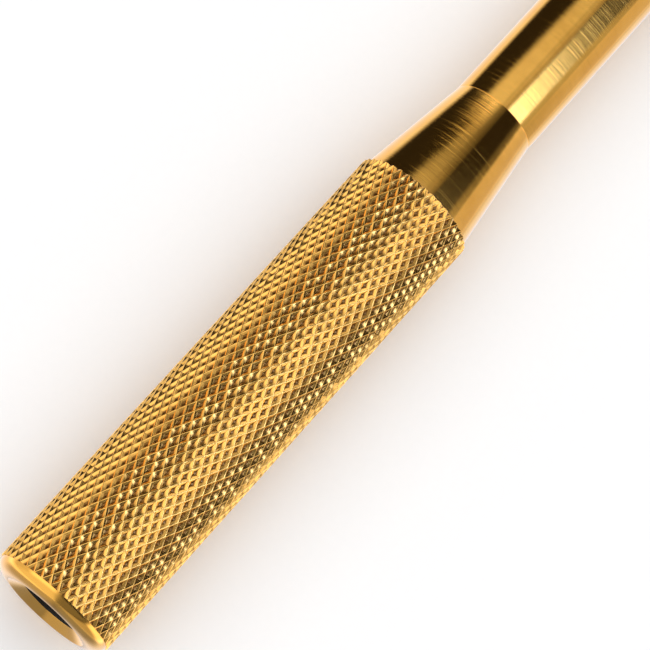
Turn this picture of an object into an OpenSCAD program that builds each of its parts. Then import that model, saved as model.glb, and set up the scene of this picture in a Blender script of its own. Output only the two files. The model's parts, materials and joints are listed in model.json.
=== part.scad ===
// Pocket direct-vision spectroscope with a focusing slit tube and an adjustable slit.
// X is the optical axis: x = 0 is the rim plane of the eye cap and +X runs to the slit.

/* [Eye cap] */
// Length of the rounded lip that stands out behind the grip, mm
lip_len = 1.7; // [1.2:0.1:2.5]
// Diameter of the lip where it meets the grip, mm
lip_d = 17.5; // [17:0.1:17.9]
// Diameter of the rim, where the lip turns into the dish, mm
rim_d = 12.7; // [12:0.1:14]
// Diameter of the eye hole, mm
eye_hole_d = 9; // [6:0.5:10]
// Depth of the dish in front of the eye hole, mm
dish_depth = 0.8; // [0.4:0.1:1.2]

/* [Grip] */
// Outside diameter of the knurled grip, mm
grip_d = 18; // [17.8:0.1:20]
// Length of the knurled grip, mm
grip_len = 71.5; // [71.5:0.5:80]
// Bore of the grip barrel, mm
barrel_bore_d = 14.6; // [14.4:0.1:15]

/* [Taper and front tube] */
// Length of the taper between the grip and the smooth tube, mm
taper_len = 17; // [15:0.5:20]
// Diameter of the taper next to the grip, mm
taper_base_d = 17.05; // [16.5:0.05:17.6]
// Outside diameter of the smooth front tube, mm
front_d = 12.6; // [12.4:0.1:13.2]
// Length of the smooth front tube, mm
front_len = 35.8; // [35:0.1:45]

/* [Prism train] */
// Side of the square glass section, mm
prism_side = 9; // [8:0.1:9]
// Angle at the sharp edge of each flint prism, degrees
flint_angle = 98; // [94:1:98]
// Thickness of the thin side of the two end prisms, mm
end_thickness = 1; // [0.6:0.1:1.2]

/* [Collimating lens] */
// Diameter of the cemented pair, mm
lens_d = 11.2; // [10.6:0.1:11.2]
// Radius of the lens face that looks at the prisms, mm
lens_rear_r = 46; // [40:1:60]
// Radius of the cemented face inside the pair, mm
lens_cement_r = 33; // [30:1:40]
// Radius of the lens face that looks at the slit, mm
lens_front_r = 100; // [80:5:160]

/* [Slit tube] */
// Outside diameter of the sliding slit tube, mm
slit_tube_d = 10; // [9.8:0.1:10]
// Radial clearance of each running fit, mm
fit_gap = 0.05; // [0.02:0.01:0.08]
// How far the slit tube pushes in from rest, mm
focus_in = 4; // [2:0.5:4]
// How far the slit tube pulls out from rest, mm
focus_out = 6; // [3:0.5:6]

/* [Slit] */
// Outside diameter of the slit ring, mm
ring_d = 17; // [17:0.1:18]
// Turn of the slit ring from closed to open, degrees
ring_turn = 120; // [90:5:120]
// How far each jaw moves for one radian of ring turn, mm
cam_lead = 0.286; // [0.2:0.002:0.286]
// Slit width at rest, mm
slit_gap = 0.1; // [0.04:0.02:0.2]
// Distance from the axis to each jaw pin at rest, mm
jaw_pin_at = 5.4; // [5.3:0.05:5.45]

/* [Hidden] */
$fn = 96;
gold = [0.83, 0.62, 0.27];
black = [0.12, 0.11, 0.10];
steel = [0.62, 0.63, 0.65];
crown_tint = [0.75, 0.88, 0.92, 0.6];
flint_tint = [0.93, 0.90, 0.72, 0.6];

seat_gap = 0.05;                 // radial gap of a screwed or pressed seat
cement = 0.03;                   // cement film between glass faces
cut = 1;                         // how far a cutter runs past the face it cuts

// stations along the axis, from the eye to the slit
grip_x0 = lip_len;
grip_x1 = grip_x0 + grip_len;
taper_x1 = grip_x1 + taper_len;
front_x1 = taper_x1 + front_len;
window_x0 = dish_depth + 1.45;
window_t = 1.2;
cap_spigot_len = 6.3;
cell_x0 = grip_x0 + cap_spigot_len + 1.5;
plate_t = 1.2;
lock_depth = 3.7;
plate_x0 = cell_x0 + lock_depth + 0.05;
train_x0 = plate_x0 + plate_t + 0.1;
flint_run = prism_side * tan(flint_angle / 2);
train_len = 4 * flint_run + 2 * end_thickness;
channel_x1 = train_x0 + train_len + 0.2;
cell_wall = 1.8;
cell_x1 = channel_x1 + cell_wall;
spigot_len = 4.9;
lens_cell_x0 = cell_x1 + 0.3;
lens_cell_x1 = grip_x1 - spigot_len - 0.3;
lens_lip_t = 1.2;
guide_len = 14;
guide_x0 = front_x1 - guide_len;
guide_lip_t = 1;

// radii
barrel_r = barrel_bore_d / 2;
inner_r = barrel_r - seat_gap;   // everything that sits in the barrel
lens_r = lens_d / 2;
window_r = 6;
cap_bore_r = window_r + seat_gap;
tube_spigot_r = 5.6;
front_bore_r = front_d / 2 - 0.7;
slide_r = slit_tube_d / 2;
slit_tube_bore_r = slide_r - 0.65;

// cork packing above and below the prisms
pad_t = 0.4;
pad_gap = 0.05;

// sliding slit tube
collar_len = 3.5;
collar_x0 = guide_x0 - focus_out - 0.5 - collar_len;
neck_r = slide_r - 0.25;
flange_x0 = front_x1 + guide_lip_t + focus_in + 0.4;
flange_t = 2;
flange_r = 7.6;
hub_spigot_len = 4.5;
light_r = 2.9;

// slit ring and its cam
ring_x0 = flange_x0 + flange_t + 0.5;
web_t = 1.5;
ring_len = 6.5;
ring_r = ring_d / 2;
rim_bore_r = ring_r - 1.05;
hub_r = 4;
cam_x0 = ring_x0 + web_t + seat_gap;
cam_t = 1;
cam_r = rim_bore_r - 0.1;
hub_x1 = cam_x0 + cam_t + 0.35;
slot_half = 0.4 + fit_gap;
slot_spare = 10;                 // turn left over at each end of a cam slot, degrees
cam_screw_r = 5.9;
cam_screw_at = 30;               // angle of the cam screws, between the slots
stop_r = 6.6;
stop_pin_r = 0.4;
stop_at = 180;                   // angle of the stop pin, clear of the cam screws

// jaws, carrier and nose
carrier_x0 = hub_x1 + 0.1;
carrier_t = 1.7;
carrier_x1 = carrier_x0 + carrier_t;
carrier_r = rim_bore_r - 0.35;
channel_depth = 0.6;
jaw_half_w = 2.45;
jaw_t = 0.45;
jaw_out = jaw_pin_at + 0.9;
jaw_pin_r = 0.4;
jaw_x0 = carrier_x1 - channel_depth + fit_gap;
jaw_travel = cam_lead * ring_turn * PI / 180;
nose_x0 = carrier_x1 + fit_gap;
ring_x1 = ring_x0 + ring_len;
nose_flange_x0 = ring_x1 + 0.3;
nose_flange_t = 1.7;
nose_x1 = nose_flange_x0 + nose_flange_t;
nose_flange_r = ring_r - 0.6;
nose_window_r = 3.7;
nose_screw_at = 5.4;

// ---- shapes turned about the X axis ----

// Solid rod between two stations.
module rod(x0, x1, r) {
    translate([x0, 0, 0]) rotate([0, 90, 0]) cylinder(h = x1 - x0, r = r);
}

// Rod whose radius changes evenly from one end to the other.
module taper(x0, x1, r0, r1) {
    translate([x0, 0, 0]) rotate([0, 90, 0]) cylinder(h = x1 - x0, r1 = r0, r2 = r1);
}

// Round hole cutter that runs past both stations.
module bore(x0, x1, r) {
    rod(x0 - cut, x1 + cut, r);
}

// Plain ring between two stations.
module ring(x0, x1, outer, inner) {
    difference() {
        rod(x0, x1, outer);
        bore(x0, x1, inner);
    }
}

// Outline of [radius, x] points turned about the X axis.
module lathe(points) {
    rotate([0, 90, 0]) rotate_extrude() polygon(points);
}

// Rod that lies parallel to X, away from the axis.
module pin(x0, x1, r, y = 0, z = 0) {
    translate([0, y, z]) rod(x0, x1, r);
}

// Two slots across the face of a ring, for a pin spanner.
module spanner_slots(x, depth, width, reach) {
    translate([x, -reach, -width / 2]) cube([depth + cut, 2 * reach, width]);
}

// ---- eye end ----

function lip_curve(steps) =
    [for (i = [0:steps]) let (a = 90 * i / steps)
        [rim_d / 2 + (lip_d - rim_d) / 2 * sin(a), lip_len * (1 - cos(a))]];

module eye_cap() {
    color(gold) lathe(concat(
        lip_curve(18),
        [[inner_r, lip_len],
         [inner_r, lip_len + cap_spigot_len],
         [cap_bore_r, lip_len + cap_spigot_len],
         [cap_bore_r, window_x0],
         [eye_hole_d / 2, window_x0],
         [eye_hole_d / 2, dish_depth]]));
}

module eye_window() {
    color(crown_tint) rod(window_x0 + seat_gap, window_x0 + window_t, window_r);
}

module eye_window_ring() {
    ring_x = window_x0 + window_t + seat_gap;
    color(black) difference() {
        ring(ring_x, ring_x + 1.5, window_r, window_r - 1.1);
        spanner_slots(ring_x + 1, 0.5, 0.8, window_r + cut);
    }
}

// ---- grip ----

module grip_barrel() {
    color(gold) ring(grip_x0, grip_x1, grip_d / 2, barrel_r);
}

// ---- prism train ----

module prism_cell() {
    half_y = prism_side / 2 + pad_gap;
    half_z = prism_side / 2 + pad_t + pad_gap;
    color(black) difference() {
        rod(cell_x0, cell_x1, inner_r);
        translate([cell_x0, -half_y, -half_z])
            cube([channel_x1 - cell_x0, 2 * half_y, 2 * half_z]);
        rod(cell_x0 - cut, cell_x0 + lock_depth, inner_r - 0.4);
        rod(channel_x1 - cut, cell_x1 + cut, prism_side / 2 - 0.5);
    }
}

module prism_lock_ring() {
    x0 = cell_x0 + 0.8;
    x1 = cell_x0 + lock_depth - seat_gap;
    color(black) difference() {
        ring(x0, x1, inner_r - 0.45, prism_side / 2);
        spanner_slots(x0 - cut, 0.8, 1, inner_r);
    }
}

module prism_stop_plate() {
    color(black) difference() {
        translate([plate_x0, -prism_side / 2, -prism_side / 2 - pad_t])
            cube([plate_t, prism_side, prism_side + 2 * pad_t]);
        bore(plate_x0, plate_x0 + plate_t, prism_side / 2 - 0.5);
    }
}

// A prism whose refracting edges are parallel to Z, from its outline in the XY plane.
module prism(tint, outline) {
    color(tint) translate([train_x0, 0, -prism_side / 2])
        linear_extrude(prism_side) polygon(outline);
}

// Flint prism: sharp edge at the +Y side, base from start to start + 2 runs at the -Y side.
module flint_prism(start) {
    h = prism_side / 2;
    prism(flint_tint, [[start + cement, -h], [start + 2 * flint_run - cement, -h],
                       [start + flint_run, h - cement]]);
}

// End prism: thin at the -Y side, a run thicker at the +Y side.
module end_prism() {
    h = prism_side / 2;
    prism(crown_tint, [[0, -h], [end_thickness, -h], [end_thickness + flint_run, h], [0, h]]);
}

module rear_crown_prism() {
    end_prism();
}

module rear_flint_prism() {
    flint_prism(end_thickness);
}

module middle_crown_prism() {
    h = prism_side / 2;
    start = end_thickness + flint_run;
    prism(crown_tint, [[start + cement, h], [start + 2 * flint_run - cement, h],
                       [start + flint_run, cement - h]]);
}

module front_flint_prism() {
    flint_prism(end_thickness + 2 * flint_run);
}

module front_crown_prism() {
    translate([2 * train_x0 + train_len, 0, 0]) mirror([1, 0, 0]) end_prism();
}

module prism_pads() {
    inset = 0.6;
    color([0.72, 0.52, 0.34]) for (side = [0, 1]) mirror([0, 0, side])
        translate([train_x0 + inset, -prism_side / 3, prism_side / 2 + 0.02])
            cube([train_len - 2 * inset, prism_side * 2 / 3, pad_t]);
}

// ---- collimating lens ----

// Stations of the glass faces on the axis.
function sag(radius, height) = radius - sqrt(radius * radius - height * height);
lens_x0 = lens_cell_x0 + lens_lip_t + seat_gap - sag(lens_rear_r, lens_r - 0.6);
lens_cement_x = lens_x0 + 2.4;   // crown thickness
lens_x1 = lens_cement_x + 1.45;  // flint thickness

module lens_cell() {
    color(black) difference() {
        rod(lens_cell_x0, lens_cell_x1, inner_r);
        bore(lens_cell_x0, lens_cell_x1, lens_r - 0.6);
        rod(lens_cell_x0 + lens_lip_t, lens_cell_x1 + cut, lens_r + seat_gap);
    }
}

// Points along a glass face from the axis to the edge, as [radius, x].
function glass_face(vertex, radius, side) =
    [for (i = [0:10]) let (h = lens_r * i / 10) [h, vertex + side * sag(radius, h)]];

// The same points from the edge back to the axis.
function reversed(points) = [for (i = [len(points) - 1:-1:0]) points[i]];

module crown_lens() {
    color(crown_tint) lathe(concat(
        glass_face(lens_x0, lens_rear_r, 1),
        reversed(glass_face(lens_cement_x, lens_cement_r, -1))));
}

module flint_lens() {
    color(flint_tint) lathe(concat(
        glass_face(lens_cement_x + cement, lens_cement_r, -1),
        reversed(glass_face(lens_x1, lens_front_r, -1))));
}

module lens_ring() {
    x0 = lens_x1 + seat_gap;
    x1 = lens_cell_x1 - 0.3;
    color(black) difference() {
        ring(x0, x1, lens_r, lens_r - 0.8);
        spanner_slots(x1 - 0.6, 0.6, 0.9, lens_r + cut);
    }
}

// ---- taper and front tube ----

tube_spigot_len = 5.8;
collar_bore_r = 5.9;
tube_spigot_x0 = taper_x1 - tube_spigot_len;
baffle_x = grip_x1 + 5;

module taper_collar() {
    color(gold) difference() {
        union() {
            taper(grip_x1, taper_x1, taper_base_d / 2, front_d / 2);
            rod(grip_x1 - spigot_len, grip_x1, inner_r);
        }
        rod(grip_x1 - spigot_len - cut, tube_spigot_x0 - 0.2, collar_bore_r);
        rod(tube_spigot_x0 - cut, taper_x1 + cut, tube_spigot_r + seat_gap);
    }
}

module light_baffle() {
    color(black) ring(baffle_x, baffle_x + 0.8, collar_bore_r - seat_gap, 3.6);
}

module front_tube() {
    color(gold) difference() {
        union() {
            rod(taper_x1, front_x1, front_d / 2);
            rod(tube_spigot_x0, taper_x1, tube_spigot_r);
        }
        bore(tube_spigot_x0, front_x1, tube_spigot_r - 0.7);
        rod(taper_x1 + 1.3, front_x1 + cut, front_bore_r);
    }
}

felt_x0 = guide_x0 + 6;
felt_len = 2;
felt_r = slide_r + 0.35;

module guide_bush() {
    color(gold) difference() {
        union() {
            rod(guide_x0, front_x1, front_bore_r - 0.03);
            rod(front_x1, front_x1 + guide_lip_t, front_d / 2 - 0.3);
        }
        bore(guide_x0, front_x1 + guide_lip_t, slide_r + fit_gap);
        rod(felt_x0, felt_x0 + felt_len, felt_r);
    }
}

module felt_ring() {
    color([0.16, 0.14, 0.13])
        ring(felt_x0 + 0.05, felt_x0 + felt_len - 0.05, felt_r - 0.02, slide_r + 0.06);
}

// ---- sliding slit tube ----

module slit_tube() {
    color(gold) difference() {
        rod(collar_x0, flange_x0, slide_r);
        bore(collar_x0, flange_x0, slit_tube_bore_r);
        difference() {
            rod(collar_x0 - cut, collar_x0 + collar_len, slide_r + cut);
            bore(collar_x0, collar_x0 + collar_len, neck_r);
        }
    }
}

module stop_collar() {
    color(black)
        ring(collar_x0, collar_x0 + collar_len - seat_gap, front_bore_r - 0.1, neck_r + 0.03);
}

module slit_hub() {
    color(gold) difference() {
        union() {
            rod(flange_x0 - hub_spigot_len, flange_x0, slit_tube_bore_r - 0.02);
            rod(flange_x0, flange_x0 + flange_t, flange_r);
            rod(flange_x0 + flange_t, hub_x1, hub_r);
        }
        bore(flange_x0 - hub_spigot_len, hub_x1, light_r);
        rod(hub_x1 - 2.4, hub_x1 + cut, light_r + 0.55);
        pin(flange_x0 + 0.5, flange_x0 + flange_t + cut, stop_pin_r + 0.02, -stop_r);
    }
}

module ring_stop_pin() {
    color(steel) pin(flange_x0 + 0.55, ring_x0 + 0.7, stop_pin_r, -stop_r);
}

module wave_washer() {
    x0 = flange_x0 + flange_t + 0.1;
    color(steel) ring(x0, x0 + 0.25, 5.9, hub_r + 0.15);
}

// ---- slit ring and cam ----

module slit_ring() {
    reach = asin((stop_pin_r + fit_gap) / stop_r);
    color(gold) difference() {
        ring(ring_x0, ring_x1, ring_r, hub_r + fit_gap);
        rod(ring_x0 + web_t, ring_x1 + cut, rim_bore_r);
        // arc groove that the stop pin runs in
        translate([ring_x0 - cut, 0, 0]) rotate([0, 90, 0])
            rotate([0, 0, stop_at + 90 - ring_turn - reach])
                rotate_extrude(angle = ring_turn + 2 * reach)
                    translate([stop_r - stop_pin_r - 0.1, 0])
                        square([2 * stop_pin_r + 0.2, cut + 0.9]);
        for (turn = [0, 180]) rotate([turn, 0, 0])
            rotate([cam_screw_at, 0, 0]) pin(ring_x0 + 0.4, cam_x0 + cut, 0.47, cam_screw_r);
    }
}

// Distance of a jaw pin's slot from the axis at a plate angle, which falls as the plate turns.
function slot_radius(angle) = jaw_pin_at - cam_lead * angle * PI / 180;

// Outline of one spiral slot, along its outer side and back along its inner side.
function slot_outline(steps) =
    let (a0 = -ring_turn - slot_spare, a1 = slot_spare)
    concat([for (i = [0:steps]) let (a = a0 + (a1 - a0) * i / steps)
                (slot_radius(a) + slot_half) * [cos(a), sin(a)]],
           [for (i = [steps:-1:0]) let (a = a0 + (a1 - a0) * i / steps)
                (slot_radius(a) - slot_half) * [cos(a), sin(a)]]);

// The slot outline is drawn as (Y, Z) and swept along X.
module slot_cutter() {
    multmatrix([[0, 0, 1, 0], [1, 0, 0, 0], [0, 1, 0, 0], [0, 0, 0, 1]])
        translate([0, 0, cam_x0 - cut]) linear_extrude(cam_t + 2 * cut)
            polygon(slot_outline(32));
}

module cam_plate() {
    color(steel) difference() {
        ring(cam_x0, cam_x0 + cam_t, cam_r, hub_r + 0.1);
        for (turn = [0, 180]) rotate([turn, 0, 0]) {
            slot_cutter();
            rotate([cam_screw_at, 0, 0]) {
                pin(cam_x0 - cut, cam_x0 + cam_t + cut, 0.5, cam_screw_r);
                pin(cam_x0 + 0.5, cam_x0 + cam_t + cut, 0.95, cam_screw_r);
            }
        }
    }
}

module cam_screws() {
    color(black) for (turn = [0, 180]) rotate([turn + cam_screw_at, 0, 0]) difference() {
        union() {
            pin(ring_x0 + 0.5, cam_x0 + cam_t, 0.45, cam_screw_r);
            pin(cam_x0 + 0.52, cam_x0 + cam_t, 0.88, cam_screw_r);
        }
        translate([cam_x0 + cam_t - 0.2, cam_screw_r - 1, -0.12]) cube([cut, 2, 0.24]);
    }
}

// ---- jaws and nose ----

module jaw_carrier() {
    color(black) difference() {
        union() {
            rod(carrier_x0, carrier_x1, carrier_r);
            rod(hub_x1 - 2.2, carrier_x0, light_r + 0.5);
        }
        bore(hub_x1 - 2.2, carrier_x1, light_r - 0.1);
        translate([carrier_x1 - channel_depth, -ring_r, -jaw_half_w - fit_gap])
            cube([cut, 2 * ring_r, 2 * (jaw_half_w + fit_gap)]);
        for (side = [-1, 1]) {
            slot_len = jaw_travel + 1;
            translate([carrier_x0 - cut, side * (jaw_pin_at + jaw_travel / 2) - slot_len / 2, -0.5])
                cube([carrier_t + cut, slot_len, 1]);
            pin(carrier_x0 + 0.4, carrier_x1 + cut, 0.47, 0, side * nose_screw_at);
        }
    }
}

// Knife-edged slit jaw on the +Y side, with the pin that runs in its cam slot.
module jaw() {
    edge = slit_gap / 2;
    color(steel) union() {
        translate([0, 0, -jaw_half_w]) linear_extrude(2 * jaw_half_w)
            polygon([[jaw_x0, edge], [jaw_x0, jaw_out], [jaw_x0 + jaw_t, jaw_out],
                     [jaw_x0 + jaw_t, edge + 0.6], [jaw_x0 + 0.06, edge]]);
        pin(cam_x0 + 0.1, jaw_x0 + 0.2, jaw_pin_r, jaw_pin_at);
    }
}

module left_jaw() {
    jaw();
}

module right_jaw() {
    mirror([0, 1, 0]) jaw();
}

module nose_cap() {
    color(gold) difference() {
        union() {
            rod(nose_x0, nose_flange_x0, carrier_r);
            rod(nose_flange_x0, nose_x1, nose_flange_r);
        }
        bore(nose_x0, nose_x1, 2.2);
        rod(nose_x1 - 1.4, nose_x1 + cut, nose_window_r + seat_gap);
        for (side = [-1, 1]) {
            pin(nose_x0 - cut, nose_x1 + cut, 0.5, 0, side * nose_screw_at);
            pin(nose_x1 - 0.85, nose_x1 + cut, 0.92, 0, side * nose_screw_at);
        }
    }
}

module nose_screws() {
    color(steel) for (side = [-1, 1]) difference() {
        union() {
            pin(carrier_x0 + 0.5, nose_x1 - 0.8, 0.44, 0, side * nose_screw_at);
            pin(nose_x1 - 0.8, nose_x1 - 0.15, 0.86, 0, side * nose_screw_at);
        }
        translate([nose_x1 - 0.4, -1, side * nose_screw_at - 0.13]) cube([cut, 2, 0.26]);
    }
}

module slit_window() {
    color(crown_tint) rod(nose_x1 - 1.35, nose_x1 - 0.75, nose_window_r);
}

module slit_window_ring() {
    color(black) difference() {
        ring(nose_x1 - 0.7, nose_x1 - 0.1, nose_window_r + 0.02, nose_window_r - 0.8);
        spanner_slots(nose_x1 - 0.35, 0.3, 0.5, nose_window_r + cut);
    }
}

eye_cap();
eye_window();
eye_window_ring();
grip_barrel();
prism_cell();
prism_lock_ring();
prism_stop_plate();
rear_crown_prism();
rear_flint_prism();
middle_crown_prism();
front_flint_prism();
front_crown_prism();
prism_pads();
lens_cell();
crown_lens();
flint_lens();
lens_ring();
taper_collar();
light_baffle();
front_tube();
guide_bush();
felt_ring();
slit_tube();
stop_collar();
slit_hub();
ring_stop_pin();
wave_washer();
slit_ring();
cam_plate();
cam_screws();
jaw_carrier();
left_jaw();
right_jaw();
nose_cap();
nose_screws();
slit_window();
slit_window_ring();
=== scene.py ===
# %% [markdown]
# # A pocket spectroscope, turned from brass
#
# You look into the rounded cap at one end and point the slit at a lamp with the other. This lesson
# builds the look of the instrument round a frame of real sizes: a lacquered brass tube with a
# diamond-knurled grip, a taper, a smooth front tube and a slit head that slides and turns.
#
# The frame is the measured model of the part. Every piece that is made here is placed from the
# frame, so nothing has to be fitted by eye. X runs along the tube from the eye to the slit, Z is up
# and every length is in metres.

# %% Load the frame
import json
import math
import random

import bmesh
import bpy
from mathutils import Matrix, Vector


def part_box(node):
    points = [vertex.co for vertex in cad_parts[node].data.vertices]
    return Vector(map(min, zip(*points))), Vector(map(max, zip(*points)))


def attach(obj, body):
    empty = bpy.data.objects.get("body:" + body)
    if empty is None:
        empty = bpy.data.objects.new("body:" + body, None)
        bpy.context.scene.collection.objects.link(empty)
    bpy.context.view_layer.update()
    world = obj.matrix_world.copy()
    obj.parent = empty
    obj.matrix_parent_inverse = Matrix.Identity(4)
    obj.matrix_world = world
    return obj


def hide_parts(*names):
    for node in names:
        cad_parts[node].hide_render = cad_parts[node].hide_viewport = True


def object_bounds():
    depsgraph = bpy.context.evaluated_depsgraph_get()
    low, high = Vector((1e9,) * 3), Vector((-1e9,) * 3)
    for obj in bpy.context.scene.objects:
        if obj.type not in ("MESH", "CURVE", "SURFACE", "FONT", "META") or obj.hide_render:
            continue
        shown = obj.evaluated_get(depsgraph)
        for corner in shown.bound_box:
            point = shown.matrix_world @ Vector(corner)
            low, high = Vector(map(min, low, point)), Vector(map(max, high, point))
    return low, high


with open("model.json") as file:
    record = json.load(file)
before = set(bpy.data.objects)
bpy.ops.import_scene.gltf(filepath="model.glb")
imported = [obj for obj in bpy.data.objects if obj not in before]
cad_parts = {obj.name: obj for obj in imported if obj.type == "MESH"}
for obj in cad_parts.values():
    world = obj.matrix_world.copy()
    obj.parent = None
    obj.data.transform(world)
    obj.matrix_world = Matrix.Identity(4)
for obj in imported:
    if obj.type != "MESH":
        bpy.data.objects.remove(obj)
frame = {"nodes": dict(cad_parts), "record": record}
cad_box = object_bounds()
MM = 0.001
print("length of the part:", round((cad_box[1][0] - cad_box[0][0]) / MM, 2), "mm")

# %% [markdown]
# ## The camera
#
# The tube lies on a table and the viewer stands behind its eye end, looking almost straight down.
# The picture is turned so that the tube runs from the lower left corner to the upper right one. A
# long lens from 36 cm keeps the two sides of the grip nearly parallel.
#
# A camera looks along its own -Z, with +X to the right and +Y up, so its matrix can be written
# straight from three directions. That is clearer than three Euler angles when the view is rolled.
# The Standard view transform keeps a white table white.

# %% Aim a rolled camera
scene = bpy.context.scene


def camera_matrix(aim, distance, elevation, roll):
    """Camera behind the eye end, raised by elevation and rolled about its line of sight."""
    back = Vector((-math.cos(elevation), 0, math.sin(elevation)))
    level_right = Vector((0, -1, 0))
    level_up = back.cross(level_right)
    right = level_right * math.cos(roll) + level_up * math.sin(roll)
    up = level_up * math.cos(roll) - level_right * math.sin(roll)
    turn = Matrix((right, up, back)).transposed()
    return Matrix.Translation(aim + back * distance) @ turn.to_4x4()


FOCAL_LENGTH = 152.6   # millimetres, as on a real camera with 36 mm wide film
NEAREST_SEEN = 0.01
lens = bpy.data.cameras.new("view_lens")
lens.lens = FOCAL_LENGTH
lens.clip_start = NEAREST_SEEN
camera = bpy.data.objects.new("view_camera", lens)
scene.collection.objects.link(camera)
camera.matrix_world = camera_matrix(
    aim=Vector((52.79, -1.9, 0)) * MM,
    distance=363.2 * MM,
    elevation=math.radians(73.57),
    roll=math.radians(42.12),
)
scene.camera = camera
scene.view_settings.view_transform = "Standard"
print("camera stands", round(camera.location.z / MM), "mm above the axis")

# %% [markdown]
# ## A notation for shader maths
#
# A mask such as "dark in the grooves, but only near the ends" is easy to say as an expression and
# tedious to wire by hand. The class below wraps a socket, and an operator on it adds the Math node
# that does the work. `Graph.add` makes every other kind of node: its settings are given first,
# then the values or links of its sockets. A Value can stand on either side of an operator, which is
# what the methods with an r in their names are for.

# %% Sockets as numbers
class Value:
    """A number that changes over the surface, as the output of a node."""

    def __init__(self, graph, socket):
        self.graph = graph
        self.socket = socket

    def maths(self, operation, *others, first=None):
        """A Math node that works on this value, or on `first` in its place, and on the others."""
        inputs = [self if first is None else first, *others]
        sockets = {i: v for i, v in enumerate(inputs)}
        return self.graph.add("ShaderNodeMath", {"operation": operation}, sockets)

    def __add__(self, other):
        return self.maths("ADD", other)

    def __radd__(self, other):
        return self.maths("ADD", other)

    def __sub__(self, other):
        return self.maths("SUBTRACT", other)

    def __rsub__(self, other):
        return self.maths("SUBTRACT", self, first=other)

    def __mul__(self, other):
        return self.maths("MULTIPLY", other)

    def __rmul__(self, other):
        return self.maths("MULTIPLY", other)


class Graph:
    """The node tree of one material or world."""

    def __init__(self, tree):
        self.tree = tree
        tree.nodes.clear()

    def add(self, kind, settings=None, sockets=None, output=0):
        """Adds a node, sets it up, fills or links its sockets and returns one output."""
        node = self.tree.nodes.new(kind)
        for name, value in (settings or {}).items():
            setattr(node, name, value)
        for name, value in (sockets or {}).items():
            if isinstance(value, Value):
                self.tree.links.new(value.socket, node.inputs[name])
            else:
                node.inputs[name].default_value = value
        if not node.outputs:
            return node
        return Value(self, node.outputs[output])

    def step(self, value, low, high):
        """0 below low, 1 above high and a smooth rise between them."""
        settings = {"interpolation_type": "SMOOTHSTEP", "clamp": True}
        sockets = {"Value": value, "From Min": low, "From Max": high}
        return self.add("ShaderNodeMapRange", settings, sockets)

    def blend(self, factor, first, second):
        """One colour where factor is 0, the other where it is 1."""
        # The Mix node has sockets A and B for every type, so the colour ones go by number.
        sockets = {"Factor": factor, 6: first, 7: second}
        return self.add("ShaderNodeMix", {"data_type": "RGBA"}, sockets, output=2)


methods = [name for name in vars(Value) if name.endswith(("add__", "sub__", "mul__"))]
print("operators of a Value:", methods)

# %% [markdown]
# ## The studio
#
# Polished metal has hardly any colour of its own: it shows the room. What gives a brass tube its
# shape is a bright card here, a black one there and a soft edge between them. The tube is long and
# round, so each card is a strip that runs along it, and all that counts is the angle round the
# tube where the strip begins and ends.
#
# Cards could be glowing planes. Painting them on the world is simpler, because a direction needs
# no distance, and the strips keep their place along the whole tube. The angle is 0 straight up,
# negative towards +Y and positive towards -Y. `reach` is the x of a direction, so it tells how far
# the direction leans towards the slit end. For this camera the front tube mirrors the reaches from
# about 0.38 to 0.43. The skin of the taper leans forward and mirrors reaches near 0.58, where the
# cards overhead are faint: that is why the taper is darker than the tube. The slopes of the knurl
# mirror much more of the tent, in front and behind, and the last cards are there for them.
#
# A card is a mask between two angles, times a mask of the reaches where it hangs, times a colour.
# The key card is bluish, so that the brass turns it into a paler gold.

# %% Paint the light tent
world = bpy.data.worlds.new("light_tent")
scene.world = world
world.use_nodes = True
tent = Graph(world.node_tree)
direction = tent.add("ShaderNodeTexCoord")
split = tent.add("ShaderNodeSeparateXYZ", {}, {0: direction}).socket.node
reach = Value(tent, split.outputs[0])
side = Value(tent, split.outputs[1])
height = Value(tent, split.outputs[2])
angle = (0 - side).maths("ARCTAN2", height) * math.degrees(1)
UPRIGHT_REACH = 0.36   # where a leaning edge passes through the angle that is asked for


def card(start, end, soft, lean=0):
    """Mask of a strip between two angles, in degrees. Its starting edge may lean with the reach."""
    turned_by = angle - (reach - UPRIGHT_REACH) * lean
    rise = tent.step(turned_by, start - soft / 2, start + soft / 2)
    fall = tent.step(angle, end - soft / 2, end + soft / 2)
    return rise * (1 - fall)


# Where along the tent a card hangs. `ahead` is the half that leans towards the slit end, `behind`
# is the rest and `level` leaves out what leans far back. `near` ends before the reaches that the
# taper mirrors and `far` begins beyond them.
ahead = tent.step(reach, 0.08, 0.20)
behind = 1 - ahead
near = 1 - tent.step(reach, 0.43, 0.53)
far = tent.step(reach, 0.62, 0.72)
level = tent.step(reach, -0.60, -0.25)

# How the brightness of some cards changes along the tent.
key_fall = 4.2 - 4.1 * tent.step(reach, 0.14, 0.42)
side_fade = 0.45 + 0.55 * tent.step(reach, 0.24, 0.36)
backs = (0.32 + 0.68 * level) * (1 - 0.8 * far)
patch = card(2, 58, 12) * tent.step(reach, -0.30, -0.10)

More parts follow.
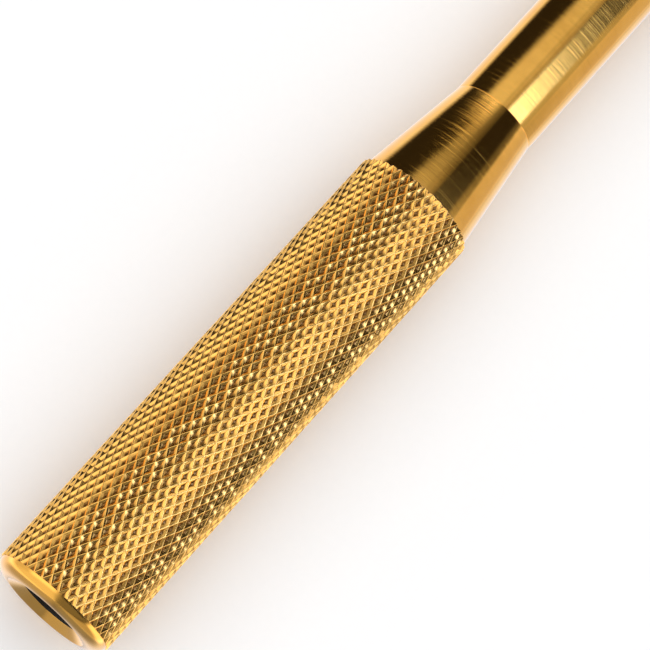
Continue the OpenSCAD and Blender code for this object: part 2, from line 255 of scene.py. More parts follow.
cards = [
    # The key card, right of the middle: bright above the grip and fading towards the taper.
    (card(14, 60, 12), ahead * near * key_fall, (1.02, 1.22, 1.9)),
    # The broad grey card left of the middle. The dark stripe beside it is where no card hangs.
    (card(-44, -1, 18, 60), ahead * (near * 0.66 + 0.30), (0.82, 0.82, 0.82)),
    # Dim strips on both sides of the key card.
    (card(-1, 12, 8), ahead * (near * 0.7 + 0.18), (0.52, 0.50, 0.48)),
    (card(60, 76, 12), ahead * (near * 0.7 + 0.18), (0.62, 0.62, 0.62)),
    # The right flank.
    (card(76, 122, 8), ahead * side_fade, (0.72, 0.68, 0.66)),
    # Two sheets below, one for each side, which give the tube its pale edges.
    (card(122, 181, 18), backs, (1.0, 1.05, 1.2)),
    (card(-181, -112, 18), backs + 0.15 * (1 - level), (1.1, 1.08, 1.1)),
    # The half behind: bright on the left and right, dark in the middle with a nearly black patch.
    (card(-128, -4, 20), behind * (0.95 - 0.15 * level), (1.05, 1.0, 0.9)),
    (card(72, 128, 16), behind * (0.3 + 0.7 * level), (1.8, 1.7, 1.6)),
    (card(-4, 64, 16), behind * (1 - 0.9 * patch), (0.2, 0.2, 0.2)),
    # Beyond the taper's reaches, for the slopes of the knurl. The second one hangs behind as well.
    (card(-128, -20, 20), far, (0.95, 0.9, 0.9)),
    (card(-66, -8, 16), behind * level + far, (0.75, 0.7, 0.65)),
    (card(76, 128, 16), far, (1.7, 1.6, 1.6)),
]
ROOM_GLOW = (0.025, 0.022, 0.02)
glow = ROOM_GLOW
for mask, where, colour in cards:
    lit = mask * where
    layer = tent.add("ShaderNodeVectorMath", {"operation": "SCALE"}, {0: colour, "Scale": lit})
    glow = tent.add("ShaderNodeVectorMath", {"operation": "ADD"}, {0: glow, 1: layer})

# The camera sees a pale backdrop, polished metal mirrors the cards, and everything dull is lit
# evenly from all sides.
BACKDROP = (0.95, 0.95, 0.95, 1)
EVEN_LIGHT = (0.45, 0.45, 0.46, 1)
seen = tent.add("ShaderNodeLightPath", output="Is Camera Ray")
mirrored = tent.add("ShaderNodeLightPath", output="Is Glossy Ray")
unmirrored = tent.blend(seen, EVEN_LIGHT, BACKDROP)
light = tent.blend(mirrored, unmirrored, glow)
backdrop = tent.add("ShaderNodeBackground", {}, {"Color": light, "Strength": 1.0})
tent.add("ShaderNodeOutputWorld", {}, {"Surface": backdrop})
print("cards round the tent:", len(cards))

# %% [markdown]
# ## The table and the lamp
#
# The table is a plain pale sheet of paper. The metal doesn't mirror it, so the strips of the tent
# stay whole right round the tube. One wide lamp overhead lights the table and the dull pieces and
# is left out of the mirror too. It is wide so that the shadow on the table stays faint.
#
# Every material is made the same way: `material_of` takes a recipe, a function that adds its nodes
# to an empty graph and returns the surface.

# %% Lay the table and hang the lamp
def material_of(name, build):
    """A new material whose surface comes from build(graph)."""
    material = bpy.data.materials.new(name)
    material.use_nodes = True
    graph = Graph(material.node_tree)
    surface = build(graph)
    graph.add("ShaderNodeOutputMaterial", {}, {"Surface": surface})
    return material


def pale_paper(graph):
    """Nearly white paper with a fine grain."""
    place = graph.add("ShaderNodeTexCoord", output="Object")
    grain = graph.add("ShaderNodeTexNoise", {}, {"Vector": place, "Scale": 900.0, "Detail": 3.0})
    colour = graph.blend(grain, (0.93, 0.93, 0.93, 1), (0.95, 0.95, 0.95, 1))
    sockets = {"Base Color": colour, "Roughness": 0.9, "Specular IOR Level": 0.1}
    return graph.add("ShaderNodeBsdfPrincipled", {}, sockets)


TABLE_HALF = 6.0
LAMP_SIZE = 3.2
LAMP_WATTS = 29.6
LAMP_PLACE = (0.05, 0, 1.2)   # high above the grip
table_mesh = bpy.data.meshes.new("table_top")
table_z = cad_box[0][2]
sides = [(-1, -1), (1, -1), (1, 1), (-1, 1)]
table_corners = [(a * TABLE_HALF, b * TABLE_HALF, table_z) for a, b in sides]
table_mesh.from_pydata(table_corners, [], [(0, 1, 2, 3)])
table_mesh.materials.append(material_of("pale_table", pale_paper))
table = bpy.data.objects.new("table_top", table_mesh)
scene.collection.objects.link(table)
table.visible_glossy = False

lamp_data = bpy.data.lights.new("overhead_lamp", "AREA")
lamp_data.shape = "SQUARE"
lamp_data.size = LAMP_SIZE
lamp_data.energy = LAMP_WATTS
lamp = bpy.data.objects.new("overhead_lamp", lamp_data)
lamp.location = LAMP_PLACE
lamp.visible_glossy = False
lamp.visible_camera = False
scene.collection.objects.link(lamp)
print("table at z =", round(table_z / MM, 2), "mm")

# %% [markdown]
# ## Lacquered brass
#
# The cap, the tubes and the slit head are brass, turned on a lathe and dipped in clear lacquer.
# The lathe leaves fine rings. A noise that is stretched round the tube gives them: it changes
# quickly along X and slowly across it. The fine rings also drive the roughness, so the edge of each
# reflection is ragged, as it is on real turned metal. A set of longer, rarer lines counts only where
# its noise is high, and a cloudy noise darkens the colour a little where the brass is worn. The
# lacquer is the coat of the shader.

# %% Brass with turning marks
def stretched(graph, place, along, across):
    """The place on the piece, scaled by the number of noise grains in a metre each way."""
    factors = (along, across, across)
    settings = {"operation": "MULTIPLY"}
    return graph.add("ShaderNodeVectorMath", settings, {0: place, 1: factors})


def noise(graph, vector, detail, roughness):
    """Noise on a stretched place: more detail adds finer grains, roughness makes them stronger."""
    sockets = {"Vector": vector, "Scale": 1.0, "Detail": detail, "Roughness": roughness}
    return graph.add("ShaderNodeTexNoise", {}, sockets)


def bumped(graph, height, strength, depth):
    """The normal of a surface that follows a height, with its full depth in metres."""
    sockets = {"Strength": strength, "Distance": depth, "Height": height}
    return graph.add("ShaderNodeBump", {}, sockets)


BRASS = (0.93, 0.50, 0.092, 1)
DEEP_BRASS = (0.70, 0.32, 0.045, 1)


def turned_brass(graph, rings=1.0, base_roughness=0.06):
    """Lacquered brass. `rings` scales how deep the turning marks look."""
    place = graph.add("ShaderNodeTexCoord", output="Object")
    fine = noise(graph, stretched(graph, place, 7000, 90), 3.0, 0.6)
    coarse = noise(graph, stretched(graph, place, 2600, 140), 2.0, 0.5)
    cloud = noise(graph, stretched(graph, place, 160, 160), 3.0, 0.6)
    worn = graph.step(cloud, 0.35, 0.75)
    colour = graph.blend(worn * 0.35, BRASS, DEEP_BRASS)
    roughness = base_roughness + 0.08 * fine + 0.04 * cloud
    long_lines = noise(graph, stretched(graph, place, 8000, 24), 1.0, 0.5)
    scratch = graph.step(long_lines, 0.58, 0.72)
    marks = fine * 0.9 + coarse * 0.3 + scratch * 0.2
    sockets = {
        "Base Color": colour,
        "Metallic": 1.0,
        "Roughness": roughness,
        "Normal": bumped(graph, marks, 0.28 * rings, 0.00004),
        "Coat Weight": 0.25,
        "Coat Roughness": 0.08,
    }
    return graph.add("ShaderNodeBsdfPrincipled", {}, sockets)


def polished_brass(graph):
    """Brass that was buffed after turning: fainter rings and a softer gloss."""
    return turned_brass(graph, rings=0.5, base_roughness=0.10)


brass = material_of("turned_brass", turned_brass)
polished = material_of("polished_brass", polished_brass)
print("brass finishes:", brass.name, polished.name)

# %% [markdown]
# ## Turning a piece
#
# A lathe makes a shape by sweeping an outline round the axis, and the same is the natural way to
# make it here. The outline is a closed list of (x, radius) points in millimetres. A real tool
# breaks every edge a little, and that thin round is what catches the light, so a point may carry
# a third number: the radius of its rounded corner.

# %% Round the corners of an outline
LONGEST_SETBACK = 0.45   # the part of an edge that the round at one of its ends may use up


def round_corner(before, corner, after, radius, steps=5):
    """Points of the curve that replaces a corner. It starts and ends where an arc would."""
    corner = Vector(corner)
    back = Vector(before) - corner
    onward = Vector(after) - corner
    opening = back.normalized().angle(onward.normalized())
    longest = LONGEST_SETBACK * min(back.length, onward.length)
    setback = min(radius / math.tan(opening / 2), longest)
    start = corner + back.normalized() * setback
    end = corner + onward.normalized() * setback
    points = []
    for i in range(steps + 1):
        t = i / steps
        points.append(start * (1 - t) ** 2 + corner * 2 * t * (1 - t) + end * t**2)
    return points


def rounded(outline):
    """The outline with a curve at every point that carries a corner radius."""
    points = []
    for i, point in enumerate(outline):
        if len(point) == 2:
            points.append(Vector(point))
            continue
        before = outline[i - 1][:2]
        after = outline[(i + 1) % len(outline)][:2]
        points.extend(round_corner(before, point[:2], after, point[2]))
    return points


square = rounded([(0, 1, 0.2), (1, 1, 0.2), (1, 2), (0, 2)])
print("a square with two round corners has", len(square), "points")

# %% [markdown]
# The sweep sets one column of points for each step round the axis and joins neighbouring columns
# with four-sided faces. The outline is closed, so the piece is closed too. `finish_mesh` then gives
# it its finish and its shading, hangs it on a body of the frame, so that it moves with the joints,
# and hides the measured piece that it stands in for.

# %% Sweep an outline round the axis
def finish_mesh(name, mesh, material, body, replaces, sharp=35):
    """Shades a mesh, gives it its finish and hangs it on the frame."""
    mesh.materials.append(material)
    mesh.shade_smooth()
    mesh.set_sharp_from_angle(angle=math.radians(sharp))
    piece = bpy.data.objects.new(name, mesh)
    scene.collection.objects.link(piece)
    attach(piece, body)
    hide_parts(*replaces)
    print(name, "has", len(mesh.polygons), "faces")
    return piece


def turned(name, outline, material, body, replaces, segments=192, radius_at=None):
    """A piece swept from its outline. radius_at(x, radius, angle) may cut flutes or teeth."""
    points = rounded(outline)
    vertices = []
    for k in range(segments):
        around = 2 * math.pi * k / segments
        for x, radius in points:
            r = radius_at(x, radius, around) if radius_at else radius
            vertices.append((x * MM, r * MM * math.cos(around), r * MM * math.sin(around)))
    count = len(points)
    faces = []
    for k in range(segments):
        after = (k + 1) % segments
        for i in range(count):
            j = (i + 1) % count
            faces.append((k * count + i, k * count + j, after * count + j, after * count + i))
    mesh = bpy.data.meshes.new(name)
    mesh.from_pydata(vertices, [], faces)
    faces_out(mesh)
    return finish_mesh(name, mesh, material, body, replaces)


def faces_out(mesh):
    """Turns every face of a closed mesh outwards."""
    work = bmesh.new()
    work.from_mesh(mesh)
    bmesh.ops.recalc_face_normals(work, faces=work.faces)
    work.to_mesh(mesh)
    work.free()


def span(node):
    """Stations of a node along the tube and its outer radius, in millimetres."""
    low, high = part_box(node)
    return low[0] / MM, high[0] / MM, high[1] / MM


print("grip runs from", [round(v, 2) for v in span("grip_barrel")])

# %% [markdown]
# ## The eye cap
#
# The cap screws into the grip and is what the eye socket meets, so it is round and smooth. Its
# lip is a quarter of an ellipse from the grip to the rim. Inside the rim a shallow dish leads to
# the eye hole, with the window a little way behind it. The outline follows the lip from the rim to
# the grip and comes back through the screwed spigot, the seat of the window and the hole.

# %% Turn the eye cap
cap_x0, cap_x1, lip_r = span("eye_cap")
grip_x0, grip_x1, grip_r = span("grip_barrel")
window_x0 = span("eye_window")[0]
LIP_STEPS = 24
RIM_R = 6.35
RIM_ROUND = 0.25
DISH_DEPTH = 1.0
HOLE_R = 4.5
SPIGOT_R = 7.25
SEAT_R = 6.05
SEAT_GAP = 0.05


def lip_outline(steps):
    """Points of the rounded lip from the rim to the grip."""
    points = []
    for i in range(steps + 1):
        a = math.radians(90) * i / steps
        x = cap_x0 + (grip_x0 - cap_x0) * (1 - math.cos(a))
        points.append((x, RIM_R + (lip_r - RIM_R) * math.sin(a)))
    return points


lip = lip_outline(LIP_STEPS)
lip[0] = (cap_x0, RIM_R, RIM_ROUND)
eye_cap = turned(
    "eye_cap_turned",
    lip
    + [
        (grip_x0, SPIGOT_R),
        (cap_x1, SPIGOT_R, 0.2),
        (cap_x1, SEAT_R, 0.2),
        (window_x0 - SEAT_GAP, SEAT_R),
        (window_x0 - SEAT_GAP, HOLE_R, 0.1),
        (cap_x0 + DISH_DEPTH, HOLE_R, 0.15),
    ],
    polished,
    "barrel",
    ["eye_cap"],
    segments=256,
)

# %% [markdown]
# ## The knurled grip
#
# Two hardened wheels with slanted teeth roll a pattern of crossed ridges into the barrel. Here the
# ridges stand proud and the diamonds between them are pits. It could be a displacement, but that
# needs millions of faces before the ridges look crisp. Instead the mesh follows the ridges: every
# diamond is one small set of nested rings whose outer ring is the crest, so the sharp lines of the
# pattern are real edges of the mesh.
#
# A point of the lattice is counted in half cells: s round the barrel and t along it. The wheels
# never press quite evenly, so the depth changes a little from pit to pit.

# %% Roll the knurl
STARTS = 41
RIDGE_ANGLE = math.radians(30)
PIT_DEPTH = 0.36
PIT_CHANGE = (0.9, 1.06)   # least and most, as a part of the depth
SEED = 7
pitch_round = 2 * math.pi * grip_r / STARTS
pitch_along = pitch_round / math.tan(RIDGE_ANGLE)
# How far in from the crest each ring lies, as a part of the cell, and how deep it is.
KNURL_RINGS = [(0, 0), (0.03, 0.025), (0.07, 0.12), (0.34, 0.90), (0.39, 0.985), (0.43, 1.0)]


def lattice_point(s, t, depth):
    """Place of a point of the lattice that lies `depth` below the crests."""
    around = math.pi * s / STARTS
    r = (grip_r - depth) * MM
    x = (grip_x0 + t * pitch_along / 2) * MM
    return (x, r * math.cos(around), r * math.sin(around))


def knurl_mesh():
    """The rolled skin, which runs past both ends of the grip."""
    chance = random.Random(SEED)
    rows = math.ceil(2 * (grip_x1 - grip_x0) / pitch_along) + 3
    work = bmesh.new()
    crest = {}
    for t in range(-2, rows + 1):
        for s in range(t % 2, 2 * STARTS, 2):
            crest[s, t] = work.verts.new(lattice_point(s, t, 0))
    for t in range(-1, rows):
        for s in range((t + 1) % 2, 2 * STARTS, 2):
            corners = [(s - 1, t), (s, t + 1), (s + 1, t), (s, t - 1)]
            ring = [crest[a % (2 * STARTS), b] for a, b in corners]
            depth = PIT_DEPTH * chance.uniform(*PIT_CHANGE)
            for inset, part in KNURL_RINGS[1:]:
                shrink = 1 - 2 * inset
                inner = []
                for a, b in corners:
                    place = (s + (a - s) * shrink, t + (b - t) * shrink)
                    inner.append(work.verts.new(lattice_point(*place, depth * part)))
                for k in range(4):
                    work.faces.new([ring[k], ring[k - 3], inner[k - 3], inner[k]])
                ring = inner
            work.faces.new(ring)
    return work


rolled = knurl_mesh()
print("faces rolled:", len(rolled.faces), "- pitch along the grip:", round(pitch_along, 3), "mm")

# %% [markdown]
# A knurled bar is faced off square on the lathe, and the same is done here. A plane cuts the ridges
# at each end of the grip, and the cut edge is drawn in to the bore to make the end face. Joining
# the two inner edges makes the bore itself and closes the mesh.

# %% Face the ends and close the bore
BORE_R = 7.3
CUT_TOLERANCE = 1e-7
EDGE_TOLERANCE = 1e-6


def cut_square(work, x, keep_sign):
    """Cuts the knurl off square at a station and faces the end down to the bore."""
    geometry = work.verts[:] + work.edges[:] + work.faces[:]
    bmesh.ops.bisect_plane(
        work,
        geom=geometry,
        dist=CUT_TOLERANCE,
        plane_co=(x * MM, 0, 0),
        plane_no=(keep_sign, 0, 0),
        clear_inner=True,
    )
    open_edges = [e for e in work.edges if e.is_boundary]
    cut = [e for e in open_edges if abs(e.verts[0].co.x - x * MM) < EDGE_TOLERANCE]
    grown = bmesh.ops.extrude_edge_only(work, edges=cut)["geom"]
    for vertex in [v for v in grown if isinstance(v, bmesh.types.BMVert)]:
        scale = BORE_R * MM / math.hypot(vertex.co.y, vertex.co.z)
        vertex.co.y *= scale
        vertex.co.z *= scale
    return [e for e in grown if isinstance(e, bmesh.types.BMEdge)]


bore_edges = cut_square(rolled, grip_x0, 1)
bore_edges += cut_square(rolled, grip_x1, -1)
bore_edges = [e for e in bore_edges if e.is_valid and e.is_boundary]
bmesh.ops.bridge_loops(rolled, edges=bore_edges)
bmesh.ops.triangulate(rolled, faces=[f for f in rolled.faces if len(f.verts) > 4])
bmesh.ops.recalc_face_normals(rolled, faces=rolled.faces)
print("open edges left on the grip:", sum(e.is_boundary for e in rolled.edges))
knurl = bpy.data.meshes.new("knurled_grip")
rolled.to_mesh(knurl)
rolled.free()

# %% [markdown]
# Painted shade darkens the pits. The distance from the axis tells crest from pit, so the colour runs
# from pale brass on the crests to dark brown at the bottom of the pits, in place of the shade that
# falls in them. That is what makes the pattern readable from far away.

# %% Paint shade into the pits
CREST_DEPTH = 0.06   # how far below the crests the painted pit shade begins
PALE_BRASS = (0.95, 0.55, 0.13, 1)
# The painted shade at the bottom of the pits.
PIT_SHADE_BROWN = (0.14, 0.055, 0.012, 1)


def radius_from_axis(graph, place):
    """Distance of the surface from the X axis."""
    flat = graph.add("ShaderNodeVectorMath", {"operation": "MULTIPLY"}, {0: place, 1: (0, 1, 1)})
    return graph.add("ShaderNodeVectorMath", {"operation": "LENGTH"}, {0: flat}, output="Value")


def knurled_brass(graph):
    """Brass with painted shade that darkens the pits, and cloudy patches of tarnish."""
    place = graph.add("ShaderNodeTexCoord", output="Object")
    height = radius_from_axis(graph, place)
    # Painted shade: 1 at the bottom of the pits, 0 on the crests.
    pit = 1 - graph.step(height, (grip_r - PIT_DEPTH) * MM, (grip_r - CREST_DEPTH) * MM)
    grain = noise(graph, stretched(graph, place, 5200, 5200), 3.0, 0.6)
    cloud = noise(graph, stretched(graph, place, 120, 120), 3.0, 0.6)
    # Painted pit shade, plus random cloudy tarnish.
    pit_shade_and_tarnish = pit * 0.5 + graph.step(cloud, 0.45, 0.8) * 0.25
    colour = graph.blend(pit_shade_and_tarnish, PALE_BRASS, DEEP_BRASS)
    colour = graph.blend(graph.step(pit, 0.45, 1.0) * 0.85, colour, PIT_SHADE_BROWN)
    sockets = {
        "Base Color": colour,
        "Metallic": 1.0,
        "Roughness": 0.17 + 0.12 * pit + 0.08 * grain,
        "Normal": bumped(graph, grain, 0.12, 0.00002),
        "Coat Weight": 0.2,
        "Coat Roughness": 0.1,
    }
    return graph.add("ShaderNodeBsdfPrincipled", {}, sockets)


PIT_SHARP = 33   # shades sharply where two walls of a pit meet, smoothly across the crests
knurl_finish = material_of("knurled_brass", knurled_brass)
finish_mesh(
    "knurled_grip",
    knurl,
    knurl_finish,
    "barrel",
    ["grip_barrel"],
    sharp=PIT_SHARP,
)
print("ridges of each hand:", STARTS, "- finish:", knurl_finish.name)

# %% [markdown]
# ## The taper and the front tube
#
# The taper brings the barrel down to the smooth tube. Its large end is a little smaller than the
# grip, so the ridges of the knurl end in a small step. Its small end is flush with the tube, and
# only a hair line shows where one screws into the other. The taper has a socket for the tube, and
# the end of the tube has a shoulder and a narrower neck inside.

# %% Turn the taper and the tube
collar_x0, taper_x1, taper_r = span("taper_collar")
tube_x0, front_x1, tube_r = span("front_tube")
TAPER_BORE_R = 5.9
SOCKET_R = 5.65
SOCKET_SPARE = 0.2
HAIR_LINE = 0.05
TUBE_BORE_R = 5.6
TUBE_NECK_R = 4.9
TUBE_SHOULDER = 1.3
turned(
    "taper_turned",
    [
        (grip_x1, taper_r, 0.08),
        (taper_x1, tube_r, HAIR_LINE),
        (taper_x1, SOCKET_R),
        (tube_x0 - SOCKET_SPARE, SOCKET_R),
        (tube_x0 - SOCKET_SPARE, TAPER_BORE_R),
        (collar_x0, TAPER_BORE_R, 0.2),
        (collar_x0, SPIGOT_R, 0.2),
        (grip_x1, SPIGOT_R),
    ],
    brass,
    "barrel",
    ["taper_collar"],
)
turned(
    "front_tube_turned",
    [
        (taper_x1, tube_r, HAIR_LINE),
        (front_x1, tube_r, 0.15),
        (front_x1, TUBE_BORE_R),
        (taper_x1 + TUBE_SHOULDER, TUBE_BORE_R),
        (taper_x1 + TUBE_SHOULDER, TUBE_NECK_R),
        (tube_x0, TUBE_NECK_R),
        (tube_x0, TUBE_BORE_R, 0.1),
        (taper_x1, TUBE_BORE_R),
    ],
    brass,
    "barrel",
    ["front_tube"],
)

# %% [markdown]
# ## The focus slide
#
# To focus, the slit end is drawn out of the front tube. A turned bush with a small lip guides it,
# and a felt ring in the bush holds it where it is put. The slit tube has a narrower neck at its
# hidden end, where the stop collar sits that keeps it from coming right out.

# %% Turn the guide bush and the slit tube
bush_x0, bush_x1, bush_lip_r = span("guide_bush")
felt_x0, felt_x1, felt_r = span("felt_ring")
slide_x0, slide_x1, slide_r = span("slit_tube")
collar_end, collar_r = span("stop_collar")[1:]
BUSH_R = 5.57
SLIDE_GAP = 0.05
FELT_GAP = 0.05
FELT_SEAT_R = felt_r + 0.02
COLLAR_STOP = collar_end + 0.03
SLIT_TUBE_BORE_R = 4.35
NECK_R = 4.75
turned(
    "guide_bush_turned",
    [
        (bush_x0, slide_r + SLIDE_GAP, 0.1),
        (bush_x0, BUSH_R, 0.1),
        (front_x1, BUSH_R),
        (front_x1, bush_lip_r, 0.1),
        (bush_x1, bush_lip_r, 0.25),
        (bush_x1, slide_r + SLIDE_GAP, 0.15),
        (felt_x1 + FELT_GAP, slide_r + SLIDE_GAP),
        (felt_x1 + FELT_GAP, FELT_SEAT_R),
        (felt_x0 - FELT_GAP, FELT_SEAT_R),
        (felt_x0 - FELT_GAP, slide_r + SLIDE_GAP),
    ],
    brass,
    "barrel",
    ["guide_bush"],
)
slit_tube = turned(
    "slit_tube_turned",
    [
        (slide_x0, NECK_R, 0.1),
        (COLLAR_STOP, NECK_R),
        (COLLAR_STOP, slide_r, 0.1),
        (slide_x1, slide_r),
        (slide_x1, SLIT_TUBE_BORE_R),
        (slide_x0, SLIT_TUBE_BORE_R, 0.1),
    ],
    polished,
    "slit_tube",
    ["slit_tube"],
)
print("slit tube is", round(slide_x1 - slide_x0, 1), "mm long")
print("stop collar is", round(2 * collar_r, 2), "mm across")

# %% [markdown]
# ## The slit head
#
# The hub closes the slit tube, and the ring that opens the slit turns on its neck. Light comes in
# through its bore, which is wider at the front to let in the whole cone of light.

# %% Turn the hub
hub_x0, hub_x1, flange_r = span("slit_hub")
HUB_SPIGOT_R = SLIT_TUBE_BORE_R - 0.02
FLANGE_T = 2.0
HUB_NECK_R = 4.0
LIGHT_R = 2.9
WIDE_LIGHT_R = LIGHT_R + 0.55
WIDE_LENGTH = 2.4
slit_hub = turned(
    "slit_hub_turned",
    [
        (hub_x0, HUB_SPIGOT_R, 0.15),
        (slide_x1, HUB_SPIGOT_R),
        (slide_x1, flange_r, 0.3),
        (slide_x1 + FLANGE_T, flange_r, 0.3),
        (slide_x1 + FLANGE_T, HUB_NECK_R),
        (hub_x1, HUB_NECK_R, 0.15),
        (hub_x1, WIDE_LIGHT_R),
        (hub_x1 - WIDE_LENGTH, WIDE_LIGHT_R),
        (hub_x1 - WIDE_LENGTH, LIGHT_R),
        (hub_x0, LIGHT_R, 0.1),
    ],
    brass,
    "slit_tube",
    ["slit_hub"],
)
print("hub flange is", round(2 * flange_r, 1), "mm across")

# %% [markdown]
# Fingers turn the ring, so its rim is fluted with a round cutter. The flutes are a wave in the
# radius, with eight columns of points for each flute, and they run out before the rounded edges of
# the rim. The wave is squared, which leaves wide ribs between narrow flutes. A groove in the back
# of the ring takes the stop pin of the hub.

# %% Flute the slit ring
ring_x0, ring_x1, ring_r = span("slit_ring")
FLUTES = 60
COLUMNS_PER_FLUTE = 8
FLUTE_DEPTH = 0.28
FLUTE_END = 0.9
FLUTE_RUNOUT = 0.25
TOLERANCE = 0.01


def flute(x, radius, around):
    """Radius of the rim with the flutes cut in, full depth between the two ends."""
    low = ring_x0 + FLUTE_END - TOLERANCE
    high = ring_x1 - FLUTE_END + TOLERANCE
    if radius < ring_r - TOLERANCE or not low < x < high:
        return radius
    return radius - FLUTE_DEPTH * (0.5 - 0.5 * math.cos(FLUTES * around)) ** 2


WEB_T = 1.5
RING_BORE_R = HUB_NECK_R + 0.05
RIM_BORE_R = 7.45
STOP_R = 6.6
GROOVE_HALF = 0.52
GROOVE_DEPTH = 0.9
turned(
    "slit_ring_turned",
    [
        (ring_x0, RING_BORE_R),
        (ring_x0, STOP_R - GROOVE_HALF),
        (ring_x0 + GROOVE_DEPTH, STOP_R - GROOVE_HALF),
        (ring_x0 + GROOVE_DEPTH, STOP_R + GROOVE_HALF),
        (ring_x0, STOP_R + GROOVE_HALF),
        (ring_x0, ring_r, 0.4),
        (ring_x0 + FLUTE_END - FLUTE_RUNOUT, ring_r),
        (ring_x0 + FLUTE_END, ring_r),
        (ring_x1 - FLUTE_END, ring_r),
        (ring_x1 - FLUTE_END + FLUTE_RUNOUT, ring_r),
        (ring_x1, ring_r, 0.4),
        (ring_x1, RIM_BORE_R, 0.15),
        (ring_x0 + WEB_T, RIM_BORE_R),
        (ring_x0 + WEB_T, RING_BORE_R),
    ],
    brass,
    "slit_ring",
    ["slit_ring"],
    segments=FLUTES * COLUMNS_PER_FLUTE,
    radius_at=flute,
)
print("flutes on the ring:", FLUTES)

# %% [markdown]
# ## Blackened brass
#
# The cells, the retaining rings, the baffle and the jaw carrier are brass that was blackened in a
# chemical bath, which leaves a thin dull skin. It is nearly black, hardly metallic and a little
# patchy, and the turning rings still show in the bump.

# %% Blacken brass
def blackened(graph):
    """A dull black skin over turned brass."""
    place = graph.add("ShaderNodeTexCoord", output="Object")
    grain = noise(graph, stretched(graph, place, 3000, 3000), 3.0, 0.6)
    rings = noise(graph, stretched(graph, place, 6000, 60), 2.0, 0.5)
    colour = graph.blend(grain, (0.012, 0.011, 0.010, 1), (0.035, 0.031, 0.027, 1))
    sockets = {
        "Base Color": colour,
        "Metallic": 0.3,
        "Roughness": 0.5 + 0.15 * grain,
        "Normal": bumped(graph, rings + grain, 0.25, 0.00003),
    }
    return graph.add("ShaderNodeBsdfPrincipled", {}, sockets)


black_brass = material_of("blackened_brass", blackened)
print("finish:", black_brass.name)

# %% [markdown]
# ## Ground steel
#
# The jaws, the cam plate, the stop pin, the washer and the screws of the nose are steel. A grinding
# wheel leaves straight lines, so this noise is stretched along X instead of round it.

# %% Grind steel
def ground_steel(graph):
    """Bright steel with straight grinding lines."""
    place = graph.add("ShaderNodeTexCoord", output="Object")
    lines = noise(graph, stretched(graph, place, 900, 7000), 3.0, 0.6)
    colour = graph.blend(lines, (0.42, 0.43, 0.45, 1), (0.60, 0.60, 0.61, 1))
    sockets = {
        "Base Color": colour,
        "Metallic": 1.0,
        "Roughness": 0.2 + 0.15 * lines,
        "Normal": bumped(graph, lines, 0.2, 0.00002),
    }
    return graph.add("ShaderNodeBsdfPrincipled", {}, sockets)


steel = material_of("ground_steel", ground_steel)
print("finish:", steel.name)

# %% [markdown]
# ## Glass
#
# The prisms and the lens pair crown glass with flint glass. Here crown glass is faintly blue, flint
# glass faintly yellow and the windows have almost no colour, so one recipe serves all three with
# its own tint. A faint smear changes the gloss a little, because wiped glass is never quite clean.

# %% Cast the glass
CROWN_TINT = (0.93, 0.98, 1.0, 1)
FLINT_TINT = (1.0, 0.98, 0.90, 1)
WINDOW_TINT = (0.97, 0.99, 0.99, 1)


def glass(tint):
    """The recipe of a glass with this tint."""
    def build(graph):
        place = graph.add("ShaderNodeTexCoord", output="Object")
        smear = noise(graph, stretched(graph, place, 400, 400), 2.0, 0.5)
        sockets = {
            "Base Color": tint,
            "Roughness": 0.02 + 0.03 * smear,
            "IOR": 1.52,
            "Transmission Weight": 1.0,
        }
        return graph.add("ShaderNodeBsdfPrincipled", {}, sockets)

    return build


crown = material_of("crown_glass", glass(CROWN_TINT))
flint = material_of("flint_glass", glass(FLINT_TINT))
window = material_of("window_glass", glass(WINDOW_TINT))
print("finishes:", crown.name, flint.name, window.name)

# %% [markdown]
# ## Cork and felt
#
# Two strips of cork hold the prisms without straining them, and a ring of felt rubs on the slit
# tube. Cork is a patchwork of light and dark cells with a rough surface. Felt is black and dull,
# and its loose fibres catch the light at grazing angles, which is what sheen is for.

# %% Cut the cork and the felt
def cork(graph):
    """Light and dark cells with a rough surface."""
    place = graph.add("ShaderNodeTexCoord", output="Object")
    cells = noise(graph, stretched(graph, place, 1400, 1400), 4.0, 0.7)
    colour = graph.blend(cells, (0.30, 0.16, 0.07, 1), (0.62, 0.42, 0.24, 1))
    bump = bumped(graph, cells, 0.5, 0.0001)
    sockets = {"Base Color": colour, "Roughness": 0.85, "Normal": bump}
    return graph.add("ShaderNodeBsdfPrincipled", {}, sockets)


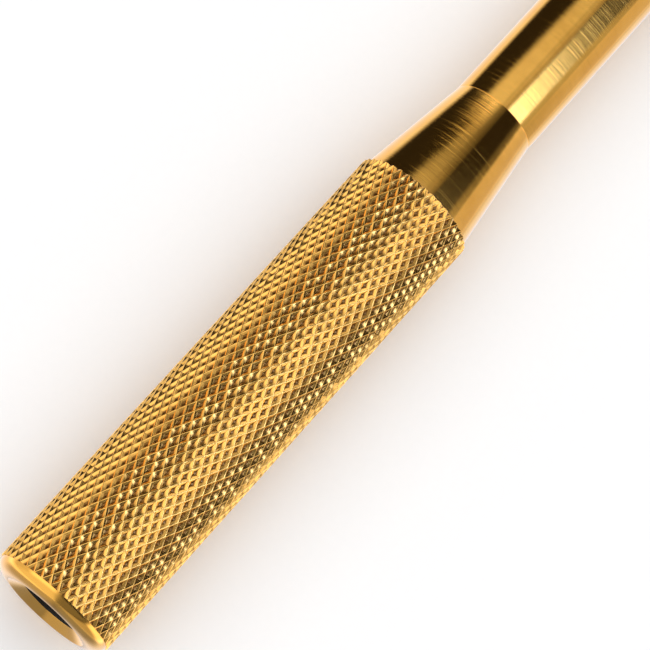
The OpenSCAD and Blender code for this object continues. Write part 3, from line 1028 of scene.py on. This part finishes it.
def felt(graph):
    """Black fluff with a pale sheen."""
    place = graph.add("ShaderNodeTexCoord", output="Object")
    fluff = noise(graph, stretched(graph, place, 5000, 5000), 4.0, 0.7)
    colour = graph.blend(fluff, (0.010, 0.009, 0.009, 1), (0.05, 0.045, 0.042, 1))
    bump = bumped(graph, fluff, 0.6, 0.0001)
    sockets = {"Base Color": colour, "Roughness": 0.95, "Sheen Weight": 0.4, "Normal": bump}
    return graph.add("ShaderNodeBsdfPrincipled", {}, sockets)


cork_strip = material_of("cork", cork)
black_felt = material_of("black_felt", felt)
print("finishes:", cork_strip.name, black_felt.name)

# %% [markdown]
# ## The pieces that keep their measured shape
#
# The frame's record names a material for every piece. The pieces that weren't turned again above
# keep their measured shapes, and all that they need is the finish that the record asks for.

# %% Hand out the finishes
finishes = {
    "blackened_brass": black_brass,
    "steel": steel,
    "crown_glass": crown,
    "flint_glass": flint,
    "window_glass": window,
    "cork": cork_strip,
    "felt": black_felt,
    "lacquered_brass": brass,
}
kept = 0
for part in frame["record"]["subparts"]:
    node = frame["nodes"][part["node"]]
    node.data.materials.clear()
    node.data.materials.append(finishes[part["material_slot"]])
    kept += not node.hide_render
print("pieces that keep their measured shape:", kept)

# %% [markdown]
# ## Black bores
#
# Light that strikes a bore would fog the spectrum, so the makers blacken every bore that light
# goes through. The faces nearer the axis than the given radius get the black finish. The dish of
# the eye cap is in front of the hole and stays bright.

# %% Blacken the bores
# Each limit lies between the wall of a bore and the next wall out.
bores = [
    (eye_cap, SEAT_R + 0.1),
    (slit_tube, NECK_R - 0.1),
    (slit_hub, LIGHT_R + 0.7),
]
for piece, radius in bores:
    piece.data.materials.append(black_brass)
    blackened_faces = 0
    for face in piece.data.polygons:
        near_axis = math.hypot(face.center.y, face.center.z) < radius * MM
        in_dish = piece is eye_cap and face.center.x < (cap_x0 + DISH_DEPTH) * MM
        if near_axis and not in_dish:
            face.material_index = 1
            blackened_faces += 1
    print(piece.name, "has", blackened_faces, "black faces")

# %% [markdown]
